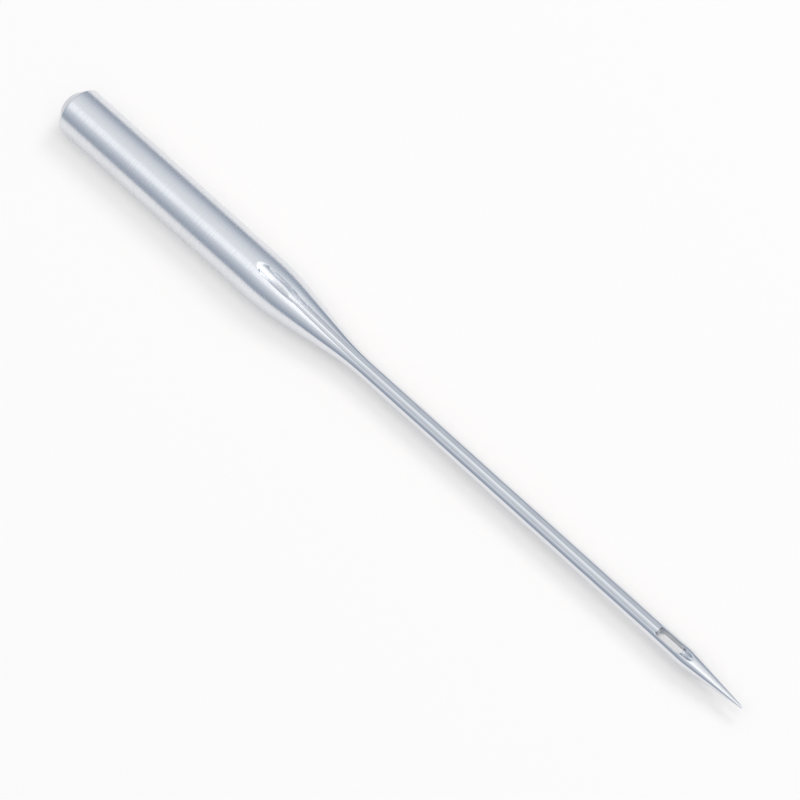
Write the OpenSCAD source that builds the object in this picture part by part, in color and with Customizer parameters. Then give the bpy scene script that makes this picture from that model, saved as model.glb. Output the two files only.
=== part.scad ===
// Needle for a household sewing machine, flat-shank system, size 75 (11), universal point.
// One steel wire, swaged, ground, grooved, pierced and plated, so it is one solid.
// The shank's axis is the X axis: the butt's end face is at X = 0 and the point is at +X.
// The needle lies on its flat: flat and scarf face down (-Z), the long groove faces up (+Z).

/* [Whole needle] */
// From the butt's end face to the tip of the point
needle_length = 38.5; // [37.5:0.1:41]
// From the butt's end face to the top of the eye, the size that the machine is timed to
butt_to_eye = 33.9; // [33:0.1:34.8]

/* [Shank] */
// Diameter of the round shank
shank_diameter = 2.02; // [1.6:0.01:2.4]
// From the butt to where the shoulder starts to narrow
shank_length = 11.3; // [10:0.1:13]
// Cone at the butt, measured along the shank
butt_chamfer = 0.45; // [0.1:0.05:0.6]
// Thickness that the flat leaves across the shank
flat_thickness = 1.62; // [1.3:0.01:1.9]

/* [Shoulder] */
// Length over which the shank narrows to the blade
shoulder_length = 6.2; // [3:0.1:8]
// Radius of the two bends of the shoulder
shoulder_bend = 13; // [1:0.5:20]

/* [Blade] */
// Diameter of the blade
blade_diameter = 0.75; // [0.65:0.01:0.9]
// How far the blade swells on each side at the eye
eye_swell = 0.02; // [0.005:0.005:0.04]

/* [Eye] */
// Length of the eye along the blade
eye_length = 1.3; // [0.9:0.05:1.6]
// Width of the eye at its throat, halfway through the blade
eye_width = 0.3; // [0.22:0.01:0.34]
// Radius of the rounded walls, which open from the throat to both rims so that the thread isn't cut
eye_wall_round = 1.2; // [0.8:0.1:3]

/* [Scarf] */
// Length of the hollow that lets the hook pass behind the blade
scarf_length = 4.9; // [3.5:0.1:7]
// Depth of the scarf from the back of the blade
scarf_depth = 0.33; // [0.15:0.01:0.36]
// Slope of the ramp that leads into the scarf, in degrees
scarf_ramp = 13; // [8:1:25]
// Radius between the ramp and the floor of the scarf
scarf_ramp_bend = 5; // [1:0.5:7]
// Slope of the short rise to the eye, in degrees
scarf_rise = 50; // [30:1:60]
// Radius between the floor and the rise
scarf_rise_bend = 0.4; // [0.2:0.05:0.8]
// Blade left between the scarf and the eye
eye_lip = 0.16; // [0.1:0.02:0.3]

/* [Grooves] */
// Width of the long groove, which carries the thread down the front of the blade
long_groove_width = 0.28; // [0.16:0.01:0.3]
// Depth of the long groove
long_groove_depth = 0.2; // [0.1:0.01:0.22]
// Radius of the long groove's run-out in the shoulder
long_groove_runout = 22; // [12:0.5:25]
// Radius of the long groove's run-out below the eye
long_groove_foot = 1.2; // [0.6:0.1:2]
// Width of the groove's mouth, the short hollow at the top of the shoulder where the thread enters
mouth_width = 0.46; // [0.34:0.01:0.6]
// Depth of the mouth below the shank's surface
mouth_depth = 0.34; // [0.2:0.01:0.45]
// Radius of the mouth's bottom, seen from the side
mouth_radius = 3.3; // [2:0.1:5]
// Width of the short groove round the eye, on the scarf's side
short_groove_width = 0.24; // [0.12:0.01:0.26]
// Depth of the short groove
short_groove_depth = 0.1; // [0.05:0.01:0.14]

/* [Point] */
// Radius of the bend with which the point starts below the eye
point_bend = 3; // [1:0.5:8]
// Blade left between the eye and the bend of the point
eye_to_point = 0.05; // [0.05:0.05:0.3]
// Radius of the slightly rounded tip
tip_radius = 0.05; // [0.02:0.01:0.1]

/* [Hidden] */
$fn = 96;
// Steps in which the outlines follow each bend
bend_steps = 8;
// How far a cut reaches past the steel
past = 0.1;
// Share of its room that a bend may fill, so that some straight is left beside it
bend_share = 0.9;

shank_r = shank_diameter / 2;
blade_r = blade_diameter / 2;
eye_r = blade_r + eye_swell;
butt_r = shank_r - butt_chamfer;
flat_height = flat_thickness - shank_r;
blade_start = shank_length + shoulder_length;
eye_end = butt_to_eye + eye_length;
eye_middle = butt_to_eye + eye_length / 2;
point_start = eye_end + eye_to_point;
scarf_end = butt_to_eye - eye_lip;
scarf_start = scarf_end - scarf_length;
scarf_height = blade_r - scarf_depth;
long_groove_height = blade_r - long_groove_depth;
short_groove_height = eye_r - short_groove_depth;
mouth_centre = [shank_length + sqrt(mouth_depth * (2 * mouth_radius - mouth_depth)), 0,
                shank_r - mouth_depth + mouth_radius];

// The shoulder's two bends are equal, with a straight cone between them where there is room
shoulder_drop = shank_r - blade_r;
widest_bend = (pow(shoulder_length, 2) + pow(shoulder_drop, 2)) / (4 * shoulder_drop);
shoulder_r = min(shoulder_bend, bend_share * widest_bend);
shoulder_span = [2 * shoulder_r - shoulder_drop, shoulder_length];
cone_slope = atan2(shoulder_span[1], shoulder_span[0]) - acos(2 * shoulder_r / norm(shoulder_span));

// The point's bend and its tip are two circles, joined by the line that touches both
point_span = [point_bend - eye_r, needle_length - tip_radius - point_start];
point_slope = atan2(point_span[1], point_span[0]) - acos((point_bend - tip_radius) / norm(point_span));

// Points on an arc, from one angle to the other
function arc(centre, r, from, to) =
    [for (i = [0:bend_steps]) centre + r * [cos(from + (to - from) * i / bend_steps),
                                            sin(from + (to - from) * i / bend_steps)]];

// The blank's half outline, as radius and distance from the butt
module blank_outline() {
    polygon(concat(
        [[0, 0], [butt_r, 0], [shank_r, butt_chamfer]],
        arc([shank_r - shoulder_r, shank_length], shoulder_r, 0, cone_slope),
        arc([blade_r + shoulder_r, blade_start], shoulder_r, 180 + cone_slope, 180),
        [[blade_r, scarf_end]],
        arc([eye_r - point_bend, point_start], point_bend, 0, point_slope),
        arc([0, needle_length - tip_radius], tip_radius, point_slope, 90)));
}

// The swaged and pointed wire, before it is cut
module blank() {
    rotate([0, 90, 0]) rotate_extrude() blank_outline();
}

// Flat on the back of the shank, which seats in the needle clamp and runs out in the shoulder
module shank_flat() {
    reach = shank_r + past;
    translate([-past, -reach, -reach]) cube([past + blade_start, 2 * reach, reach - flat_height]);
}

// Scarf on the back of the blade: a long ramp, a level floor and a short rise to the eye.
// It is drawn with its heights out of the back and carried right through, from side to side.
module scarf() {
    top = blade_r + past;
    ramp_bend = min(scarf_ramp_bend, bend_share * scarf_depth / (1 - cos(scarf_ramp)));
    rise_bend = min(scarf_rise_bend, bend_share * scarf_depth / (1 - cos(scarf_rise)));
    floor_from = scarf_start + scarf_run(scarf_ramp, ramp_bend);
    floor_to = scarf_end - scarf_run(scarf_rise, rise_bend);
    rotate([-90, 0, 0]) linear_extrude(height = 2 * top, center = true)
        polygon(concat(
            [[scarf_start - past / tan(scarf_ramp), top]],
            arc([floor_from, scarf_height + ramp_bend], ramp_bend, -90 - scarf_ramp, -90),
            arc([floor_to, scarf_height + rise_bend], rise_bend, -90, -90 + scarf_rise),
            [[scarf_end + past / tan(scarf_rise), top]]));
}

// Length of a slope and its bend, from the back of the blade down to the scarf's floor
function scarf_run(slope, bend) =
    (scarf_depth - bend * (1 - cos(slope))) / tan(slope) + bend * sin(slope);

// Section of a groove, its round bottom at the left and its open side at the right
module groove_section(width, depth) {
    translate([width / 2, 0]) circle(d = width);
    translate([width / 2, -width / 2]) square([depth, width]);
}

// Part of the disc that cuts a groove with the same round bottom, from +X down to -Z or further
module groove_disc(width, radius, sweep = 90) {
    rotate([-90, 0, 0]) rotate_extrude(angle = sweep) {
        translate([radius - width / 2, 0]) circle(d = width);
        translate([0, -width / 2]) square([radius - width / 2, width]);
    }
}

// Long groove down the front of the blade, with its mouth and a run-out at each end
module long_groove() {
    translate([blade_start, 0, long_groove_height])
        rotate([0, -90, 0]) mirror([0, 0, 1]) linear_extrude(height = eye_end - blade_start)
            groove_section(long_groove_width, shank_r);
    translate([blade_start, 0, long_groove_height + long_groove_runout])
        mirror([1, 0, 0]) groove_disc(long_groove_width, long_groove_runout);
    translate([eye_end, 0, long_groove_height + long_groove_foot])
        groove_disc(long_groove_width, long_groove_foot);
    translate(mouth_centre) groove_disc(mouth_width, mouth_radius, 180);
}

// Short groove round the eye on the scarf's side, which runs out by itself as the point tapers
module short_groove() {
    translate([scarf_end - scarf_run(scarf_rise, 0), 0, -short_groove_height])
        rotate([0, 90, 0]) linear_extrude(height = needle_length - scarf_end)
            groove_section(short_groove_width, shank_r);
}

// Half section of the eye, from its axis to its rounded wall
module eye_section() {
    middle = eye_width / 2 + eye_wall_round;
    reach = eye_r + past;
    difference() {
        translate([0, -reach]) square([middle, 2 * reach]);
        translate([middle, 0]) circle(r = eye_wall_round);
    }
}

// The eye, pierced from groove to groove: two round ends and the straight stretch between them
module eye() {
    straight = eye_length - eye_width;
    for (side = [-1, 1])
        translate([eye_middle + side * straight / 2, 0, 0]) rotate([0, 0, side * 90 - 180])
            rotate_extrude(angle = 180) eye_section();
    translate([eye_middle - straight / 2, 0, 0]) rotate([90, 0, 90])
        linear_extrude(height = straight) {
            eye_section();
            mirror([1, 0]) eye_section();
        }
}

module needle() {
    color("#c9ced6") difference() {
        blank();
        shank_flat();
        scarf();
        long_groove();
        short_groove();
        eye();
    }
}

needle();
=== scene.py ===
"""A household sewing machine needle, lying on the flat of its shank on a pale floor."""

import math

import bmesh
import bpy
import numpy as np
from mathutils import Matrix, Vector


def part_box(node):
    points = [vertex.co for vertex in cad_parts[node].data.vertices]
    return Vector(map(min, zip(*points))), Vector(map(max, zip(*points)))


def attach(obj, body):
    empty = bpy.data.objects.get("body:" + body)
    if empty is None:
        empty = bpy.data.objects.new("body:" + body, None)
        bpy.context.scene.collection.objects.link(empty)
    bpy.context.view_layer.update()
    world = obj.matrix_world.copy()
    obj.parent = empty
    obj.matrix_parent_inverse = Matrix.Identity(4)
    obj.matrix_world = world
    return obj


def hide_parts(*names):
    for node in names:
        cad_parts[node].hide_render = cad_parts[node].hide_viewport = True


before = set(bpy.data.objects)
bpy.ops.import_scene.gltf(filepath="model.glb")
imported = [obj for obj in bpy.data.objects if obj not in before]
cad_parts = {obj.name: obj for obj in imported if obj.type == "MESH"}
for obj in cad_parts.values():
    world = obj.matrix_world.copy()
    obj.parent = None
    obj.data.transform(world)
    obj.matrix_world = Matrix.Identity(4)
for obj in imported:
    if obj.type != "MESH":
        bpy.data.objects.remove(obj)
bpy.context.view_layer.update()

# The needle's blank
# One steel wire, 2 mm thick at the shank, is swaged down to the blade and ground to a point.
# Its half outline is a run of straight lines and arcs, turned about the X axis. Lengths are in
# metres and start at the butt, and angles are in degrees.

MM = 0.001
near_corner, far_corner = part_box("needle")
needle_length = far_corner.x
shank_r = far_corner.z
flat_height = -near_corner.z
blade_r = 0.375 * MM
eye_r = 0.395 * MM

butt_chamfer = 0.45 * MM
butt_edge_round = 0.07 * MM
shank_length = 11.3 * MM
shoulder_length = 6.2 * MM
shoulder_bend = 13 * MM
eye_top = 33.9 * MM
eye_length = 1.3 * MM
eye_lip = 0.16 * MM
eye_to_point = 0.05 * MM
point_bend = 3 * MM
tip_r = 0.05 * MM
bend_steps = 12

eye_foot = eye_top + eye_length
scarf_end = eye_top - eye_lip
point_start = eye_foot + eye_to_point
blade_start = shank_length + shoulder_length


def arc(centre, r, start, stop, steps):
    """Points on an arc in the plane of the outline, from one angle to the other, in degrees."""
    angles = np.radians(np.linspace(start, stop, steps + 1))
    return np.array(centre) + r * np.stack([np.cos(angles), np.sin(angles)], axis=1)


def rounded(before, corner, after, r, steps):
    """The arc of radius r that rounds a corner between two straight lines."""
    before, corner, after = (np.array(p) for p in (before, corner, after))
    back = (before - corner) / np.linalg.norm(before - corner)
    on = (after - corner) / np.linalg.norm(after - corner)
    half = math.acos(float(back @ on)) / 2
    middle = (back + on) / np.linalg.norm(back + on)
    centre = corner + middle * r / math.sin(half)
    feet = [corner + side * r / math.tan(half) for side in (back, on)]
    start, stop = (math.degrees(math.atan2(*(foot - centre)[::-1])) for foot in feet)
    stop = start + (stop - start + 180) % 360 - 180
    return arc(centre, r, start, stop, steps)


def shoulder_outline():
    """The two equal bends of the shoulder, with the cone between them."""
    drop = shank_r - blade_r
    span = np.array([shoulder_length, 2 * shoulder_bend - drop])
    slope = math.degrees(math.atan2(*span) - math.acos(2 * shoulder_bend / np.linalg.norm(span)))
    into = arc((shank_length, shank_r - shoulder_bend), shoulder_bend, 90, 90 - slope, bend_steps)
    out = arc((blade_start, blade_r + shoulder_bend), shoulder_bend, 270 - slope, 270, bend_steps)
    return np.concatenate([into, out])


def point_outline():
    """The bend below the eye, the long cone and the small round tip."""
    tip_centre = needle_length - tip_r
    span = np.array([point_bend - eye_r, tip_centre - point_start])
    slope = math.degrees(math.atan2(span[1], span[0])
                         - math.acos((point_bend - tip_r) / np.linalg.norm(span)))
    bend = arc((point_start, eye_r - point_bend), point_bend, 90, 90 - slope, bend_steps)
    return np.concatenate([bend, arc((tip_centre, 0), tip_r, 90 - slope, 0, bend_steps)])


butt_r = shank_r - butt_chamfer
face_edge = rounded((0, 0), (0, butt_r), (butt_chamfer, shank_r), butt_edge_round, 6)
shank_edge = rounded((0, butt_r), (butt_chamfer, shank_r), (shank_length, shank_r),
                     butt_edge_round, 6)
outline = np.concatenate([face_edge, shank_edge, shoulder_outline(),
                          [[scarf_end, blade_r]], point_outline()])


def blank_radius(x):
    """Radius of the blank at x."""
    return np.interp(x, outline[:, 0], outline[:, 1])


# What is ground, milled and pierced
# The flat and the scarf are ground away below, where the needle lies, the long groove is milled
# from above, and the eye is pierced from groove to groove. Each is a height from the axis, and
# y is the distance from the needle's middle plane.

scarf_length = 4.9 * MM
scarf_depth = 0.33 * MM
scarf_ramp, scarf_ramp_bend = 13, 5 * MM
scarf_rise, scarf_rise_bend = 50, 0.4 * MM
long_groove_half, long_groove_bottom = 0.14 * MM, 0.175 * MM
long_groove_runout, long_groove_foot = 22 * MM, 1.2 * MM
mouth_half, mouth_depth, mouth_radius = 0.23 * MM, 0.34 * MM, 3.3 * MM
short_groove_half, short_groove_bottom = 0.12 * MM, 0.295 * MM
eye_half = 0.15 * MM
eye_wall_round = 1.2 * MM
steepest_wall = 80
clear = 3 * MM

scarf_start = scarf_end - scarf_length
eye_middle = eye_top + eye_length / 2
eye_straight = eye_length / 2 - eye_half
mouth_reach = math.sqrt(mouth_depth * (2 * mouth_radius - mouth_depth))
mouth_middle = shank_length + mouth_reach


def hollow(distance, r):
    """How high the wall of a round-bottomed cut stands at a distance from its lowest line."""
    reach = r * math.sin(math.radians(steepest_wall))
    within = np.minimum(distance, reach)
    beyond = (distance - within) * math.tan(math.radians(steepest_wall))
    return r - np.sqrt(r * r - within * within) + beyond


def scarf_outline():
    """Side view of the scarf: the long ramp, the level floor and the short rise to the eye."""
    floor_z = blade_r - scarf_depth

    def run(slope, bend):
        slope = math.radians(slope)
        straight = (scarf_depth - bend * (1 - math.cos(slope))) / math.tan(slope)
        return straight + bend * math.sin(slope)

    floor_from = scarf_start + run(scarf_ramp, scarf_ramp_bend)
    floor_to = scarf_end - run(scarf_rise, scarf_rise_bend)
    down = arc((floor_from, floor_z + scarf_ramp_bend), scarf_ramp_bend, 270 - scarf_ramp, 270, 24)
    up = arc((floor_to, floor_z + scarf_rise_bend), scarf_rise_bend, 270, 270 + scarf_rise, 16)
    far_up = [clear, clear * math.tan(math.radians(scarf_ramp))]
    high_up = [clear, clear * math.tan(math.radians(scarf_rise))]
    return np.concatenate([[down[0] + np.array(far_up) * [-1, 1]], down, up, [up[-1] + high_up]])


scarf = scarf_outline()


def scarf_height(x):
    """Height of the scarf below the axis."""
    return np.interp(x, scarf[:, 0], scarf[:, 1])


def short_groove_height(y):
    """Height of the short groove's wall, on the scarf's side."""
    return short_groove_bottom + hollow(y, short_groove_half)


def mouth_height(x, y):
    """Height of the groove's mouth, the short wide hollow at its start on the shoulder."""
    bottom = shank_r - mouth_depth + hollow(np.abs(x - mouth_middle), mouth_radius)
    return bottom + hollow(y, mouth_half)


def long_groove_height(x, y):
    """Height of the long groove's wall, whose bottom climbs to a run-out at each end."""
    before = hollow(np.maximum(blade_start - x, 0), long_groove_runout)
    after = hollow(np.maximum(x - eye_foot, 0), long_groove_foot)
    return long_groove_bottom + before + after + hollow(y, long_groove_half)


def eye_height(x, y):
    """Height of the eye's rounded wall, which opens from the throat towards both rims."""
    along = max(abs(x - eye_middle) - eye_straight, 0)
    opening = np.maximum(np.sqrt(y * y + along * along) - eye_half, 0)
    left = np.maximum(eye_wall_round - opening, 0)
    return np.sqrt(eye_wall_round ** 2 - left ** 2)


def softly_lower(a, b, edge):
    """The lower of two heights, with the edge between them rounded over."""
    near = np.maximum(edge - np.abs(a - b), 0) / edge
    return np.minimum(a, b) - near * near * edge / 4


# The needle's surface
# Each ring is a section across the needle, from its top line round one side to its bottom line.
# Rings lie close together at the bends and cuts, and so do the points of each ring.

edge_soft = 0.05 * MM
polish = 0.010 * MM
walk = 0.004 * MM
dense_points, least_steps, ring_points = 900, 200, 72
seam_fade = 0.08 * MM
sharpest_turn, turn_share, turn_window = 0.5, 1.2, 9


def half_section(x):
    """Dense outline of half the section at x, as Y and Z, from its top to its bottom."""
    r = float(blank_radius(x))
    along = abs(x - eye_middle) - eye_straight
    start = 0.0
    if along < eye_half:
        start = math.sqrt(eye_half ** 2 - max(along, 0) ** 2)
    swing = (1 - np.cos(np.linspace(0, math.pi, dense_points))) / 2
    y = start + (r - start) * swing
    side = np.sqrt(np.maximum(r * r - y * y, 0))
    edge = min(edge_soft, r / 2)
    up = softly_lower(side, long_groove_height(x, y), edge)
    if abs(x - mouth_middle) < 2 * mouth_reach:
        up = softly_lower(up, mouth_height(x, y), edge)
    down = side
    if x < blade_start:
        down = softly_lower(side, np.full_like(y, flat_height), edge)
    if x > scarf_start - clear:
        down = softly_lower(side, np.full_like(y, scarf_height(x)), edge)
        if x > scarf_end - scarf_length / 2:
            down = softly_lower(down, short_groove_height(y), edge)
            down = softly_lower(down, eye_height(x, y), edge)
            up = softly_lower(up, eye_height(x, y), edge)
    if start > 0:
        up[0] = down[0] = 0
    return np.concatenate([np.stack([y, up], 1), np.stack([y, -down], 1)[::-1][1:]])


def ring(x):
    """The half section at x, its corners polished round, as an even number of points."""
    line = half_section(x)
    steps = np.linalg.norm(np.diff(line, axis=0), axis=1)
    s = np.concatenate([[0], np.cumsum(steps)])
    count = max(int(s[-1] / walk), least_steps)
    even = np.linspace(0, s[-1], count + 1)
    raw = np.stack([np.interp(even, s, line[:, i]) for i in (0, 1)], 1)
    sigma = min(polish, s[-1] / 40) * count / s[-1]
    reach = int(4 * sigma) + 1
    bell = np.exp(-0.5 * (np.arange(-reach, reach + 1) / sigma) ** 2)
    bell /= bell.sum()
    padded = np.concatenate([raw[reach:0:-1] * [-1, 1], raw, raw[-2:-2 - reach:-1] * [-1, 1]])
    smooth = np.stack([np.convolve(padded[:, i], bell, "valid") for i in (0, 1)], 1)
    from_seam = np.minimum(even, s[-1] - even)
    share = np.clip(from_seam / min(seam_fade, s[-1] / 4), 0, 1)
    share = (share * share * (3 - 2 * share))[:, None]
    soft = raw + (smooth - raw) * share

    # The ring's own points gather where the section turns
    legs = np.diff(soft, axis=0)
    heading = np.unwrap(np.arctan2(legs[:, 1], legs[:, 0]))
    turn = np.abs(np.diff(heading, prepend=heading[0]))
    window = np.ones(turn_window) / turn_window
    turn = np.convolve(np.minimum(turn, sharpest_turn), window, "same")
    weight = 1 / count + turn_share * turn / max(turn.sum(), 1e-9)
    place = np.concatenate([[0], np.cumsum(weight)])
    place /= place[-1]
    at = np.interp(np.linspace(0, 1, ring_points), place, even)
    return np.stack([np.interp(at, even, soft[:, i]) for i in (0, 1)], 1)


def spread(start, stop, count, gather="evenly"):
    """Places from start up to stop, left out itself, even or gathered at one end."""
    t = np.linspace(0, 1, count, endpoint=False)
    if gather == "start":
        t = t * t
    elif gather == "stop":
        t = 1 - (1 - t) ** 2
    return start + (stop - start) * t


# Where the rings change their spacing, from the butt to the tip
cone_end = 0.6 * MM
mouth_start, mouth_open = shank_length - 0.12 * MM, shank_length + 0.5 * MM
flat_fades, flat_end = 14.3 * MM, 15.1 * MM
blade_even = blade_start + 0.2 * MM
ramp_from, ramp_to = scarf_start - 0.4 * MM, scarf_start + 2.2 * MM
rise_from, rise_to = scarf_end - 0.55 * MM, scarf_end + 0.06 * MM
straight_from, straight_to = eye_middle - eye_straight, eye_middle + eye_straight
eye_from, eye_to = straight_from - eye_half, straight_to + eye_half
rim = 0.06 * MM
groove_end = eye_foot + 0.75 * MM
tip_bend = outline[-1 - bend_steps:-1, 0]

stations = np.concatenate([
    face_edge[:, 0], shank_edge[:, 0],
    spread(cone_end, mouth_start, 20),
    spread(mouth_start, mouth_open, 60),
    spread(mouth_open, flat_fades, 60),
    spread(flat_fades, flat_end, 36),
    spread(flat_end, blade_even, 28),
    spread(blade_even, ramp_from, 24),
    spread(ramp_from, ramp_to, 52),
    spread(ramp_to, rise_from, 14),
    spread(rise_from, rise_to, 44),
    spread(rise_to, eye_from - rim, 6),
    spread(eye_from - rim, eye_from, 18, "stop"),
    spread(eye_from, straight_from, 16, "start"),
    spread(straight_from, straight_to, 14),
    spread(straight_to, eye_to, 16, "stop"),
    spread(eye_to, eye_to + rim, 18, "start"),
    spread(eye_to + rim, groove_end, 26),
    spread(groove_end, tip_bend[0], 20),
    tip_bend,
])

half_count = len(stations) * ring_points
rings = np.empty((len(stations), ring_points, 3))
rings[:, :, 0] = stations[:, None]
rings[:, :, 1:] = [ring(x) for x in stations]
halves = np.concatenate([rings.reshape(-1, 3), rings.reshape(-1, 3) * [1, -1, 1]])

# The butt's end face is closed over a slightly smaller ring, so that its edge stays crisp
inset = 0.96
face_ring = rings[0] * [1, inset, inset]
face_rings = np.concatenate([face_ring, face_ring * [1, -1, 1]])
verts = np.concatenate([halves, face_rings, [[0, 0, 0], [needle_length, 0, 0]]])
rim_at = len(halves)
centre_at = rim_at + len(face_rings)
tip_at = centre_at + 1

faces = []
last = half_count - ring_points
for half in (0, 1):
    shift, rim_shift = half * half_count, rim_at + half * ring_points
    for k in range(ring_points - 1):
        a, b = shift + k, shift + k + 1
        for row in range(0, last, ring_points):
            faces.append((a + row, b + row, b + row + ring_points, a + row + ring_points))
        faces.append((rim_shift + k, rim_shift + k + 1, b, a))
        faces.append((centre_at, rim_shift + k + 1, rim_shift + k))
        faces.append((a + last, b + last, tip_at))

mesh = bpy.data.meshes.new("plated_needle")
mesh.from_pydata(verts.tolist(), [], faces)
needle = bpy.data.objects.new("plated_needle", mesh)
bpy.context.scene.collection.objects.link(needle)

shell = bmesh.new()
shell.from_mesh(mesh)
bmesh.ops.remove_doubles(shell, verts=shell.verts, dist=1e-7)
bmesh.ops.dissolve_degenerate(shell, edges=shell.edges, dist=1e-8)
bmesh.ops.recalc_face_normals(shell, faces=shell.faces)
shell.to_mesh(mesh)
shell.free()
for polygon in mesh.polygons:
    polygon.use_smooth = True

# Dullness and painted shade of each point: 0 on the round, a little dullness in the cuts, more on
# the butt's ground cone, and 1 at the throat of the eye, which is painted shade deep in the hole
places = np.array([vertex.co for vertex in mesh.vertices])
depth = blank_radius(places[:, 0]) - np.hypot(places[:, 1], places[:, 2])
in_cut = np.clip(depth / (0.12 * MM), 0, 1)
at_eye = (places[:, 0] > eye_from) & (places[:, 0] < eye_to)
# Painted shade: the middle of the eye's hole is marked here to be coloured much darker
throat = at_eye * np.clip(1 - np.abs(places[:, 2]) / (0.25 * MM), 0, 1)
on_cone = np.clip(1 - (places[:, 0] - butt_chamfer) / (0.03 * MM), 0, 1)
dull_and_shade_values = np.maximum(in_cut * (0.08 + 0.92 * throat), 0.35 * on_cone)
dull_and_shade_points = mesh.attributes.new("dullness_and_shade", "FLOAT", "POINT")
dull_and_shade_points.data.foreach_set("value", dull_and_shade_values.astype(np.float32))

# The plating
# Bright nickel over polished steel. The shank keeps the fine lines that grinding left round it,
# the blade those of polishing along it, and the grooves, scarf and eye are a little duller. The
# throat of the eye is painted much darker, as painted shade.


def polishing_lines():
    """Node group: fine parallel lines, as height and as a shade from 0 to 1."""
    group = bpy.data.node_groups.new("polishing_lines", "ShaderNodeTree")
    group.interface.new_socket("Place", in_out="INPUT", socket_type="NodeSocketVector")
    group.interface.new_socket("Lines per metre", in_out="INPUT", socket_type="NodeSocketVector")
    group.interface.new_socket("Height", in_out="OUTPUT", socket_type="NodeSocketFloat")
    group.interface.new_socket("Shade", in_out="OUTPUT", socket_type="NodeSocketFloat")
    nodes, links = group.nodes, group.links
    come, go = nodes.new("NodeGroupInput"), nodes.new("NodeGroupOutput")
    stretched = nodes.new("ShaderNodeVectorMath")
    stretched.operation = "MULTIPLY"
    links.new(come.outputs["Place"], stretched.inputs[0])
    links.new(come.outputs["Lines per metre"], stretched.inputs[1])
    fine = nodes.new("ShaderNodeTexNoise")
    fine.inputs["Scale"].default_value = 1
    fine.inputs["Detail"].default_value = 4
    fine.inputs["Roughness"].default_value = 0.65
    links.new(stretched.outputs["Vector"], fine.inputs["Vector"])
    links.new(fine.outputs["Fac"], go.inputs["Height"])
    bands = nodes.new("ShaderNodeMapRange")
    bands.inputs["From Min"].default_value = 0.3
    bands.inputs["From Max"].default_value = 0.7
    links.new(fine.outputs["Fac"], bands.inputs["Value"])
    links.new(bands.outputs["Result"], go.inputs["Shade"])
    return group


plate = bpy.data.materials.new("plated_steel")
plate.use_nodes = True
nodes, links = plate.node_tree.nodes, plate.node_tree.links
bsdf = nodes["Principled BSDF"]
bsdf.inputs["Metallic"].default_value = 1
where = nodes.new("ShaderNodeTexCoord")
lines = polishing_lines()

round_lines = nodes.new("ShaderNodeGroup")
round_lines.node_tree = lines
round_lines.inputs["Lines per metre"].default_value = (9000, 150, 150)
long_lines = nodes.new("ShaderNodeGroup")
long_lines.node_tree = lines
long_lines.inputs["Lines per metre"].default_value = (250, 16000, 16000)
for group in (round_lines, long_lines):
    links.new(where.outputs["Object"], group.inputs["Place"])

# From 0 on the shank to 1 on the blade, over the length of the shoulder
parts = nodes.new("ShaderNodeSeparateXYZ")
links.new(where.outputs["Object"], parts.inputs["Vector"])
on_blade = nodes.new("ShaderNodeMapRange")
on_blade.interpolation_type = "SMOOTHSTEP"
on_blade.inputs["From Min"].default_value = shank_length
on_blade.inputs["From Max"].default_value = blade_start
links.new(parts.outputs["X"], on_blade.inputs["Value"])

height = nodes.new("ShaderNodeMix")
links.new(on_blade.outputs["Result"], height.inputs["Factor"])
links.new(round_lines.outputs["Height"], height.inputs["A"])
links.new(long_lines.outputs["Height"], height.inputs["B"])
bump = nodes.new("ShaderNodeBump")
bump.inputs["Strength"].default_value = 0.4
bump.inputs["Distance"].default_value = 0.002 * MM
links.new(height.outputs["Result"], bump.inputs["Height"])
links.new(bump.outputs["Normal"], bsdf.inputs["Normal"])

shade = nodes.new("ShaderNodeMix")
links.new(on_blade.outputs["Result"], shade.inputs["Factor"])
links.new(round_lines.outputs["Shade"], shade.inputs["A"])
links.new(long_lines.outputs["Shade"], shade.inputs["B"])
cloud = nodes.new("ShaderNodeTexNoise")
cloud.inputs["Scale"].default_value = 420
cloud.inputs["Detail"].default_value = 2
links.new(where.outputs["Object"], cloud.inputs["Vector"])
dullness_and_shade = nodes.new("ShaderNodeAttribute")
dullness_and_shade.attribute_name = "dullness_and_shade"


def weighted(value, weight, base):
    """Nodes for value times weight plus base, where base is a number or another output."""
    node = nodes.new("ShaderNodeMath")
    node.operation = "MULTIPLY_ADD"
    links.new(value, node.inputs[0])
    node.inputs[1].default_value = weight
    if isinstance(base, bpy.types.NodeSocket):
        links.new(base, node.inputs[2])
    else:
        node.inputs[2].default_value = base
    return node.outputs[0]


rough = weighted(shade.outputs["Result"], 0.07, 0.20)
rough = weighted(on_blade.outputs["Result"], -0.13, rough)
rough = weighted(cloud.outputs["Fac"], 0.08, rough)
rough = weighted(dullness_and_shade.outputs["Fac"], 0.20, rough)
links.new(rough, bsdf.inputs["Roughness"])

# Colour: much darker at the eye's throat, which is painted shade, and a little darker for the
# duller cuts, the butt's cone, the cloudy tone and the lines
dull_and_shade = weighted(dullness_and_shade.outputs["Fac"], 0.7, 0.0)
dull_and_shade = weighted(cloud.outputs["Fac"], 0.11, dull_and_shade)
dull_and_shade = weighted(shade.outputs["Result"], 0.06, dull_and_shade)
tint = nodes.new("ShaderNodeMix")
tint.data_type = "RGBA"
bright_nickel, dull_and_shaded_nickel = (0.82, 0.835, 0.86, 1), (0.30, 0.33, 0.38, 1)
tint.inputs["A"].default_value = bright_nickel
tint.inputs["B"].default_value = dull_and_shaded_nickel
links.new(dull_and_shade, tint.inputs["Factor"])
links.new(tint.outputs["Result"], bsdf.inputs["Base Color"])
mesh.materials.append(plate)

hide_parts("needle")
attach(needle, "root")

# The pale floor
# The needle rests on it with its flat. To the camera and in the metal it is nearly white.

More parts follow.
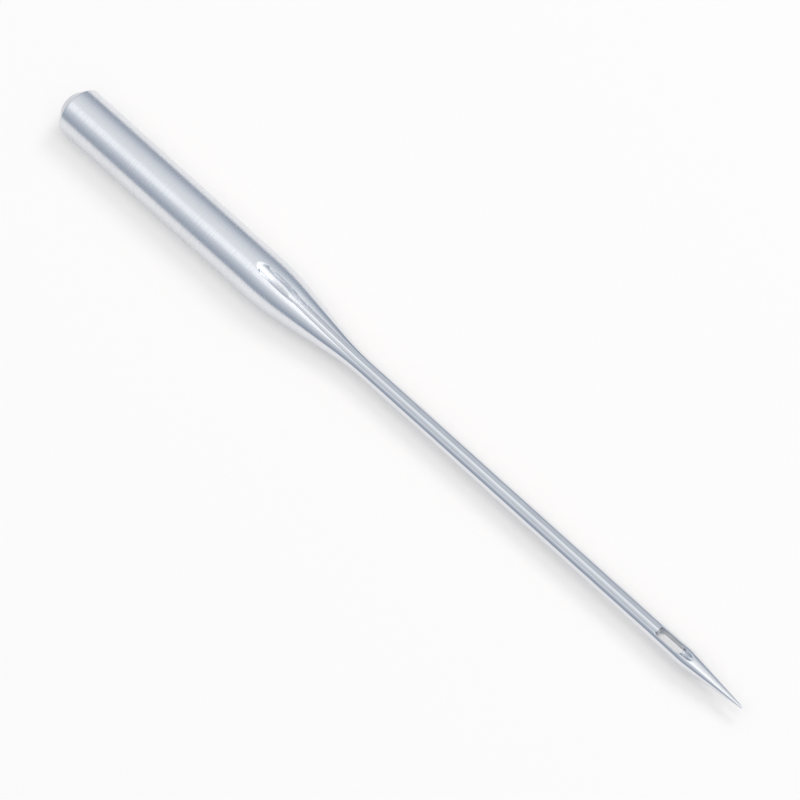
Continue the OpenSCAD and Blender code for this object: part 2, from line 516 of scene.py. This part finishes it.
floor_half = 1.5
corners = [(x * floor_half, y * floor_half, -flat_height)
           for x, y in ((-1, -1), (1, -1), (1, 1), (-1, 1))]
floor_mesh = bpy.data.meshes.new("floor")
floor_mesh.from_pydata(corners, [], [(0, 1, 2, 3)])
floor = bpy.data.objects.new("floor", floor_mesh)
bpy.context.scene.collection.objects.link(floor)

paper = bpy.data.materials.new("floor_paper")
paper.use_nodes = True
nodes, links = paper.node_tree.nodes, paper.node_tree.links
nodes.clear()
output = nodes.new("ShaderNodeOutputMaterial")
both = nodes.new("ShaderNodeAddShader")
diffuse = nodes.new("ShaderNodeBsdfDiffuse")
diffuse.inputs["Color"].default_value = (0.83, 0.80, 0.77, 1)
glow = nodes.new("ShaderNodeEmission")
rays = nodes.new("ShaderNodeLightPath")
seen = nodes.new("ShaderNodeMath")
seen.operation = "MAXIMUM"
links.new(rays.outputs["Is Camera Ray"], seen.inputs[0])
links.new(rays.outputs["Is Glossy Ray"], seen.inputs[1])
seen_or_passed = nodes.new("ShaderNodeMath")
seen_or_passed.operation = "MAXIMUM"
links.new(seen.outputs[0], seen_or_passed.inputs[0])
links.new(rays.outputs["Is Transmission Ray"], seen_or_passed.inputs[1])
lift = nodes.new("ShaderNodeMath")
lift.operation = "MULTIPLY"
lift.inputs[1].default_value = 0.18
links.new(seen_or_passed.outputs[0], lift.inputs[0])
links.new(lift.outputs[0], glow.inputs["Strength"])
links.new(diffuse.outputs[0], both.inputs[0])
links.new(glow.outputs[0], both.inputs[1])
links.new(both.outputs[0], output.inputs["Surface"])
floor_mesh.materials.append(paper)

# Light
# A room that is bright above and blue-grey towards the horizon. The long lamp draws the bright
# line along the shank and the blade, and the key lamp throws the soft shadow to one side. The
# mouth lamp whitens the hollow of the groove's mouth, and the weak back lamp lights what faces
# the butt, such as the groove's run-out below the eye.

world = bpy.context.scene.world or bpy.data.worlds.new("room")
bpy.context.scene.world = world
world.use_nodes = True
nodes, links = world.node_tree.nodes, world.node_tree.links
nodes.clear()
output = nodes.new("ShaderNodeOutputWorld")
background = nodes.new("ShaderNodeBackground")
where = nodes.new("ShaderNodeTexCoord")
parts = nodes.new("ShaderNodeSeparateXYZ")
sky = nodes.new("ShaderNodeValToRGB")
sky_stops = [(0.0, (0.26, 0.30, 0.38)), (0.28, (0.36, 0.41, 0.49)), (0.65, (0.68, 0.71, 0.76)),
             (0.85, (0.84, 0.86, 0.88)), (0.97, (1.0, 1.0, 1.0))]
for (stop, _), element in zip((sky_stops[0], sky_stops[-1]), sky.color_ramp.elements):
    element.position = stop
for stop, _ in sky_stops[1:-1]:
    sky.color_ramp.elements.new(stop)
for (_, colour), element in zip(sky_stops, sky.color_ramp.elements):
    element.color = (*colour, 1)
links.new(where.outputs["Generated"], parts.inputs[0])
links.new(parts.outputs["Z"], sky.inputs["Fac"])
links.new(sky.outputs["Color"], background.inputs["Color"])
links.new(background.outputs[0], output.inputs["Surface"])

aim = Vector((needle_length / 2, 0, 0))
lamp_distance = 0.4


def soft_lamp(name, direction, length, width, power):
    """A soft lamp that shines on the needle from one direction, its length along the needle."""
    data = bpy.data.lights.new(name, "AREA")
    data.shape = "RECTANGLE"
    data.size, data.size_y = length, width
    data.energy = power
    lamp = bpy.data.objects.new(name, data)
    out = Vector(direction).normalized()
    beside = (Vector((1, 0, 0)) - out.x * out).normalized()
    turn = Matrix((beside, out.cross(beside), out)).transposed()
    lamp.matrix_world = Matrix.Translation(aim + lamp_distance * out) @ turn.to_4x4()
    bpy.context.scene.collection.objects.link(lamp)


soft_lamp("long_lamp", (-0.20, -0.34, 0.92), 0.40, 0.20, 0.085)
soft_lamp("key_lamp", (0.10, 0.66, 0.74), 0.14, 0.14, 0.31)
soft_lamp("mouth_lamp", (0.22, 0.20, 0.95), 0.26, 0.14, 0.13)
soft_lamp("back_lamp", (-0.93, 0.15, 0.30), 0.12, 0.20, 0.045)

# Camera
# It looks down from the point's side, turned so that the needle falls from upper left to lower
# right, as in the photograph.

back = Vector((0.473, -0.221, 0.853)).normalized()
fall = math.radians(42)
camera_distance = 0.43
along = (Vector((1, 0, 0)) - back.x * back).normalized()
across = back.cross(along)
right = math.cos(fall) * along + math.sin(fall) * across
up = math.cos(fall) * across - math.sin(fall) * along
camera_data = bpy.data.cameras.new("camera")
camera_data.lens = 514
camera_data.clip_start = 0.01
camera = bpy.data.objects.new("camera", camera_data)
turn = Matrix((right, up, back)).transposed()
camera.matrix_world = Matrix.Translation(aim + camera_distance * back) @ turn.to_4x4()
bpy.context.scene.collection.objects.link(camera)
bpy.context.scene.camera = camera

bpy.context.scene.view_settings.view_transform = "Standard"
